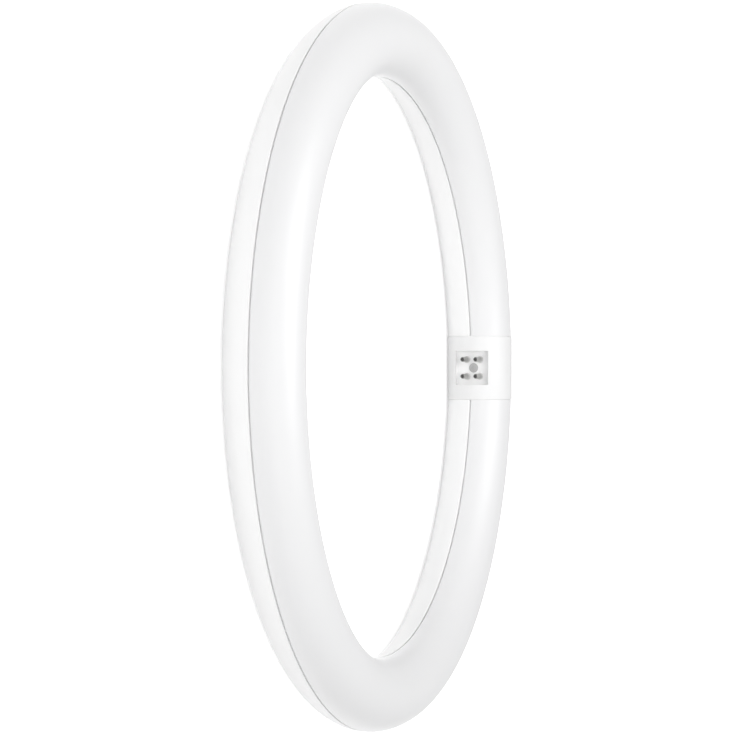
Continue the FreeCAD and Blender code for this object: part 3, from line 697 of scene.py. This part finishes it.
@dataclass
class Base:
    """The clamshell base: its two halves, its four pins and its screw."""

    axis: float = BASE_AXIS
    radius: float = 15.295 * MM
    bore: float = 14.5 * MM
    half_length: float = 15 * MM
    neck_stop: float = 9.8 * MM
    edge_round: float = 0.35 * MM
    edge_steps: int = 5
    half_split: float = 0.03 * MM
    pocket_half: float = 8 * MM
    pocket_floor: float = POCKET_FLOOR
    pocket_corner: float = 0.3 * MM
    corner_steps: int = 5
    head_radius: float = 2.2 * MM
    head_gap: float = 0.05 * MM
    head_sink: float = 0.15 * MM
    head_height: float = 1.3 * MM
    head_ease: float = 0.1 * MM
    drive_reach: float = 1.3 * MM
    drive_half_slot: float = 0.35 * MM
    drive_depth: float = 0.4 * MM
    drive_clear: float = 1 * MM
    screw_radius: float = 1.45 * MM
    screw_length: float = 14 * MM
    screw_steps: int = 48
    pin_radius: float = 1.175 * MM
    pin_length: float = PIN_LENGTH
    pin_root: float = 5 * MM
    shoulder_radius: float = 1.75 * MM
    shoulder_height: float = SHOULDER_HEIGHT
    pin_spacing: Point = (7.92 * MM, 6.35 * MM)
    pin_steps: int = 36
    pin_core: float = 0.001 * MM
    tip_steps: int = 10
    sharp_above: float = 30.0
    steps: int = 72
    # The base's plastic carries painted light in its pocket, and the pins a painted reflection toward their
    # feet.
    shell_finish: Finish = PocketPaintedLightFinish("base_plastic_painted_pocket_light", (0.785, 0.785, 0.785), 0.5)
    pin_finish: Finish = PinFinish("plated_pins_painted_reflection", (0.5, 0.5, 0.49), 0.3, 1.0, tint=0.15)
    screw_finish: Finish = Finish("zinc_screw", (0.5, 0.5, 0.5), 0.5, 1.0, tint=0.2, unevenness=0.2)

    def half_sleeve(self, name: str, side: int) -> bpy.types.Object:
        """A half cylinder with rounded ends.

        Args:
            name: its name.
            side: -1 toward the ring's centre and 1 away from it.

        Returns:
            The solid, bored at both ends for the ring's necks.
        """
        flat = math.degrees(math.asin(self.half_split / self.radius))
        start, end = (flat - 90, 90 - flat) if side > 0 else (90 + flat, 270 - flat)
        angles = [math.radians(90 - 90 * step / self.edge_steps) for step in range(self.edge_steps + 1)]
        stations = [
            (self.half_length - self.edge_round * (1 - math.sin(a)), self.edge_round * (1 - math.cos(a)))
            for a in angles
        ]
        shape = bmesh.new()
        rings = []
        for length, shrink in [(-x, s) for x, s in stations] + [(x, s) for x, s in reversed(stations)]:
            outline = arc((self.axis, 0), self.radius - shrink, start, end, self.steps)
            rings.append([shape.verts.new((length, y, z)) for y, z in outline])
        count = len(rings[0])
        for first, second in zip(rings, rings[1:]):
            for number in range(count):
                after = (number + 1) % count
                shape.faces.new([first[number], first[after], second[after], second[number]])
        shape.faces.new(rings[0])
        shape.faces.new(rings[-1])
        bmesh.ops.recalc_face_normals(shape, faces=shape.faces)
        piece = new_piece(name)
        shape.to_mesh(piece.data)
        shape.free()
        bores = []
        far = 2 * self.half_length
        for low, high in ((-far, -self.neck_stop), (self.neck_stop, far)):
            outline = arc((self.axis, 0), self.bore, 0, 360, 2 * self.steps)[:-1]
            bores.append(prism("bore", outline, low, high, ALONG_BASE))
        combine(piece, bores, "DIFFERENCE")
        return piece

    def pocket_outline(self) -> list[Point]:
        """The pocket's square mouth with its small round corners.

        Returns:
            A closed run of points.
        """
        inner = self.pocket_half - self.pocket_corner
        points: list[Point] = []
        for turn, (x, y) in enumerate(((1, 1), (-1, 1), (-1, -1), (1, -1))):
            start = 90 * turn
            points += arc((x * inner, y * inner), self.pocket_corner, start, start + 90, self.corner_steps)
        return points

    def make_inner(self, material: bpy.types.Material) -> None:
        """Builds the half with the pocket and the hole for the screw.

        Args:
            material: the base's plastic.
        """
        shell = self.half_sleeve("base_inner", -1)
        pocket = prism("pocket", self.pocket_outline(), -self.pocket_floor, 0, INWARD)
        hole = self.head_radius + self.head_gap
        sunk = self.pocket_floor + self.head_sink + self.head_height
        well = prism("well", arc((0, 0), hole, 0, 360, self.screw_steps)[:-1], -sunk, 0, INWARD)
        combine(shell, [pocket, well], "DIFFERENCE")
        clean(shell, self.sharp_above)
        dress(shell, material, "base_white", "base_inner_shell")

    def make_outer(self, material: bpy.types.Material) -> None:
        """Builds the plain half on the ring's outside.

        Args:
            material: the base's plastic.
        """
        shell = self.half_sleeve("base_outer", 1)
        clean(shell, self.sharp_above)
        dress(shell, material, "base_white", "base_outer_shell")

    def pin_tree(self) -> bpy.types.NodeTree:
        """Builds the tree that turns a pin from its profile and repeats it at four places.

        Returns:
            The geometry tree.
        """
        tree, given, out = new_group(
            "pin_group",
            "GeometryNodeTree",
            {
                "Profile": ("NodeSocketGeometry",),
                "Spacing Wide": ("NodeSocketFloat", 0.01),
                "Spacing High": ("NodeSocketFloat", 0.01),
                "Floor": ("NodeSocketFloat", 0.1),
                "Round Steps": ("NodeSocketInt", 32),
                "Finish": ("NodeSocketMaterial",),
            },
            {"Pins": "NodeSocketGeometry"},
        )
        round_steps = given.outputs["Round Steps"]
        circle = tree.add("GeometryNodeCurvePrimitiveCircle", Resolution=round_steps, Radius=self.pin_core)
        profile = tree.add("GeometryNodeMeshToCurve", Mesh=given.outputs["Profile"])
        pin = tree.add("GeometryNodeCurveToMesh", Curve=circle.outputs[0], Profile_Curve=profile.outputs[0])
        merged = tree.add("GeometryNodeMergeByDistance", Geometry=pin.outputs[0], Distance=DOUBLES)
        grid = tree.add(
            "GeometryNodeMeshGrid",
            Size_X=given.outputs["Spacing Wide"],
            Size_Y=given.outputs["Spacing High"],
            Vertices_X=2,
            Vertices_Y=2,
        )
        placed = tree.add("GeometryNodeInstanceOnPoints", Points=grid.outputs[0], Instance=merged.outputs[0])
        floor = tree.add("ShaderNodeCombineXYZ", X=0.0, Y=given.outputs["Floor"], Z=0.0)
        stood = tree.add(
            "GeometryNodeTransform",
            Geometry=placed.outputs[0],
            Translation=floor.outputs[0],
            Rotation=(math.pi / 2, 0, 0),
        )
        real = tree.add("GeometryNodeRealizeInstances", Geometry=stood.outputs[0])
        finish = given.outputs["Finish"]
        painted = tree.add("GeometryNodeSetMaterial", Geometry=real.outputs[0], Material=finish)
        tree.feed(out.inputs["Pins"], painted.outputs[0])
        return tree.tree

    def make_pins(self) -> None:
        """Builds the four pins, each a shank with a conical shoulder on the floor and a round tip."""
        straight = self.pin_length - self.pin_radius
        profile = [(0, -self.pin_root), (self.pin_radius, -self.pin_root), (self.pin_radius, 0)]
        profile += [(self.shoulder_radius, 0), (self.pin_radius, self.shoulder_height)]
        profile += [(r, straight + h) for r, h in arc((0, 0), self.pin_radius, 0, 90, self.tip_steps)]
        pins = new_piece("contact_pins")
        points = [(radius, -height, 0) for radius, height in profile]
        pins.data.from_pydata(points, [(n, n + 1) for n in range(len(points) - 1)], [])
        material = self.pin_finish.make()
        values = {
            "Spacing Wide": self.pin_spacing[0],
            "Spacing High": self.pin_spacing[1],
            "Floor": self.pocket_floor,
            "Round Steps": self.pin_steps,
            "Finish": material,
        }
        shape_with_nodes(pins, self.pin_tree(), values)
        clean(pins)
        nodes = [f"contact_pin_{number}" for number in range(1, 5)]
        dress(pins, material, "pin_metal", *nodes)

    def make_screw(self) -> None:
        """Builds the screw, whose head shows in the middle of the pocket."""
        top = -self.head_sink
        under = top - self.head_height
        ease = self.head_ease
        profile = [(0, top), (self.head_radius - ease, top), (self.head_radius, top - ease)]
        profile += [(self.head_radius, under), (self.screw_radius, under)]
        profile += [(self.screw_radius, under - self.screw_length + self.screw_radius)]
        profile += [(0, under - self.screw_length)]
        place = Matrix.Translation((0, self.pocket_floor, 0)) @ INWARD
        screw = turned("base_screw_head", profile[::-1], self.screw_steps, place)
        reach, slot = self.drive_reach, self.drive_half_slot
        cross = [(reach, slot), (slot, slot), (slot, reach), (-slot, reach), (-slot, slot), (-reach, slot)]
        cross += [(-x, -y) for x, y in cross]
        drive = prism("drive", cross, top - self.drive_depth, top + self.drive_clear, place)
        combine(screw, [drive], "DIFFERENCE")
        clean(screw)
        dress(screw, self.screw_finish.make(), "screw_steel", "base_screw")

    def make(self) -> None:
        """Builds the base."""
        plastic = self.shell_finish.make()
        self.make_inner(plastic)
        self.make_outer(plastic)
        self.make_pins()
        self.make_screw()


@dataclass
class Inside:
    """What the tube and the base hold, kept as the frame has it and given its finish."""

    finishes: dict[str, Finish] = field(
        default_factory=lambda: {
            "board_aluminium": Finish("board_mask", (0.87, 0.87, 0.85), 0.45),
            "chip_phosphor": Finish("phosphor", (0.88, 0.72, 0.2), 0.5, tint=0.08),
            "circuit_board": Finish("green_mask", (0.06, 0.25, 0.12), 0.35, tint=0.1, coat=0.3),
            "black_package": Finish("black_moulding", (0.03, 0.03, 0.03), 0.5, tint=0.2),
            "can_sleeve": Finish("sleeve", (0.03, 0.03, 0.05), 0.3, tint=0.2, coat=0.4),
            "resistor_coat": Finish("resistor_paint", (0.3, 0.42, 0.5), 0.5, tint=0.1),
            "varistor_coat": Finish("dipped_blue", (0.05, 0.16, 0.42), 0.35, tint=0.1),
            "film_box": Finish("yellow_box", (0.7, 0.5, 0.08), 0.4, tint=0.05),
            "ferrite": Finish("ferrite_grey", (0.06, 0.06, 0.06), 0.6, tint=0.3, relief=0.2),
            "copper_winding": Finish("enamelled_copper", (0.6, 0.22, 0.08), 0.3, 1.0, tint=0.2),
            "tinned_wire": Finish("tinned", (0.7, 0.7, 0.68), 0.3, 1.0, tint=0.1),
        }
    )

    def make(self) -> None:
        """Gives each inner node its finish by the record's slot."""
        materials = {slot: finish.make() for slot, finish in self.finishes.items()}
        slots = {part["node"]: part["material_slot"] for part in frame["record"]["subparts"]}
        for name, node in frame["nodes"].items():
            if slots[name] not in materials:
                continue
            for holder in node.material_slots:
                holder.material = materials[slots[name]]
            LOG.info("%s: %s", name, slots[name])


@dataclass(frozen=True)
class Lamp:
    """A soft rectangular lamp that points at the ring's centre."""

    name: str
    place: tuple[float, float, float]
    width: float
    height: float
    radiance: float
    in_gloss: bool = True

    def add(self) -> None:
        """Hangs the lamp, with its width level and its power worked out from its radiance and size."""
        light = bpy.data.lights.new(self.name, "AREA")
        light.shape = "RECTANGLE"
        light.size = self.width
        light.size_y = self.height
        light.energy = self.radiance * math.pi * self.width * self.height
        holder = bpy.data.objects.new(self.name, light)
        holder.location = self.place
        holder.rotation_euler = (-Vector(self.place)).to_track_quat("-Z", "Y").to_euler()
        holder.visible_camera = False
        holder.visible_glossy = self.in_gloss
        bpy.context.scene.collection.objects.link(holder)


@dataclass
class Studio:
    """The floor, the lamps and the camera."""

    floor_height: float = -15.3 * MM
    floor_side: float = 6.0
    floor_colour: Colour = (0.95, 0.95, 0.95)
    floor_roughness: float = 0.9
    floor_lift: float = 0.65
    sky: float = 0.3
    lamps: tuple[Lamp, ...] = (
        Lamp("overhead", (-0.17, -0.06, 0.65), 0.34, 0.6, 3.75),
        Lamp("front_low", (0.0, -2.1, 0.75), 1.2, 1.4, 1.95, in_gloss=False),
        Lamp("front_high", (0.0, -1.4, 1.6), 2.0, 0.6, 4.1, in_gloss=False),
        Lamp("side", (2.2, -0.3, 0.8), 1.0, 1.0, 2.0, in_gloss=False),
    )
    azimuth: float = 0.17
    elevation: float = 18.995
    distance: float = 882.6 * MM
    focal_pixels: float = 2119.79
    picture_side: int = 735
    centre: Point = (387.84, 367.10)
    sensor: float = 36.0
    nearest: float = 10 * MM

    def add_floor(self) -> None:
        """Lays the pale floor, a little brighter to the camera so that it reads as white paper."""
        bpy.ops.mesh.primitive_plane_add(size=self.floor_side, location=(0, 0, self.floor_height))
        floor = bpy.context.object
        floor.name = "floor"
        material = bpy.data.materials.new("floor_paper")
        material.use_nodes = True
        tree = Tree(material.node_tree)
        shader = material.node_tree.nodes["Principled BSDF"]
        shader.inputs["Base Color"].default_value = (*self.floor_colour, 1.0)
        shader.inputs["Roughness"].default_value = self.floor_roughness
        shader.inputs["Specular IOR Level"].default_value = 0.0
        shader.inputs["Emission Color"].default_value = (1, 1, 1, 1)
        rays = tree.add("ShaderNodeLightPath")
        seen = tree.math("MAXIMUM", rays.outputs["Is Camera Ray"], rays.outputs["Is Glossy Ray"])
        tree.feed(shader.inputs["Emission Strength"], tree.math("MULTIPLY", seen, self.floor_lift))
        floor.data.materials.append(material)

    def add_sky(self) -> None:
        """Sets an even white world, which the camera and mirrors see as plain white."""
        world = bpy.data.worlds.new("studio")
        bpy.context.scene.world = world
        world.use_nodes = True
        tree = Tree(world.node_tree)
        background = world.node_tree.nodes["Background"]
        background.inputs["Color"].default_value = (1, 1, 1, 1)
        rays = tree.add("ShaderNodeLightPath")
        seen = tree.math("MAXIMUM", rays.outputs["Is Camera Ray"], rays.outputs["Is Transmission Ray"])
        seen = tree.math("MAXIMUM", seen, rays.outputs["Is Glossy Ray"])
        level = tree.math("ADD", self.sky, tree.math("MULTIPLY", seen, 1.0 - self.sky))
        tree.feed(background.inputs["Strength"], level)

    def add_camera(self) -> None:
        """Sets the camera at the photograph's angle, turned on its side."""
        tilt = math.radians(self.elevation)
        back = Vector((0, -math.cos(tilt), math.sin(tilt)))
        right = Vector((0, math.sin(tilt), math.cos(tilt)))
        up = Vector((-1, 0, 0))
        data = bpy.data.cameras.new("camera")
        data.sensor_width = self.sensor
        data.lens = self.focal_pixels / self.picture_side * self.sensor
        middle = self.picture_side / 2
        data.shift_x = (middle - self.centre[0]) / self.picture_side
        data.shift_y = (self.centre[1] - middle) / self.picture_side
        data.clip_start = self.nearest
        camera = bpy.data.objects.new("camera", data)
        turn = Matrix((right, up, back)).transposed().to_4x4()
        about_ring = Matrix.Rotation(math.radians(self.azimuth), 4, "Z")
        camera.matrix_world = about_ring @ Matrix.Translation(back * self.distance) @ turn
        bpy.context.scene.collection.objects.link(camera)
        bpy.context.scene.camera = camera

    def make(self) -> None:
        """Sets up the studio."""
        bpy.context.scene.view_settings.view_transform = "Standard"
        self.add_floor()
        self.add_sky()
        for lamp in self.lamps:
            lamp.add()
        self.add_camera()


def main() -> None:
    """Builds the lamp and its studio."""
    logging.basicConfig(level=logging.INFO, format="%(message)s")
    grain_group()
    Tube().make()
    Base().make()
    Inside().make()
    Studio().make()


if __name__ == "__main__":
    main()
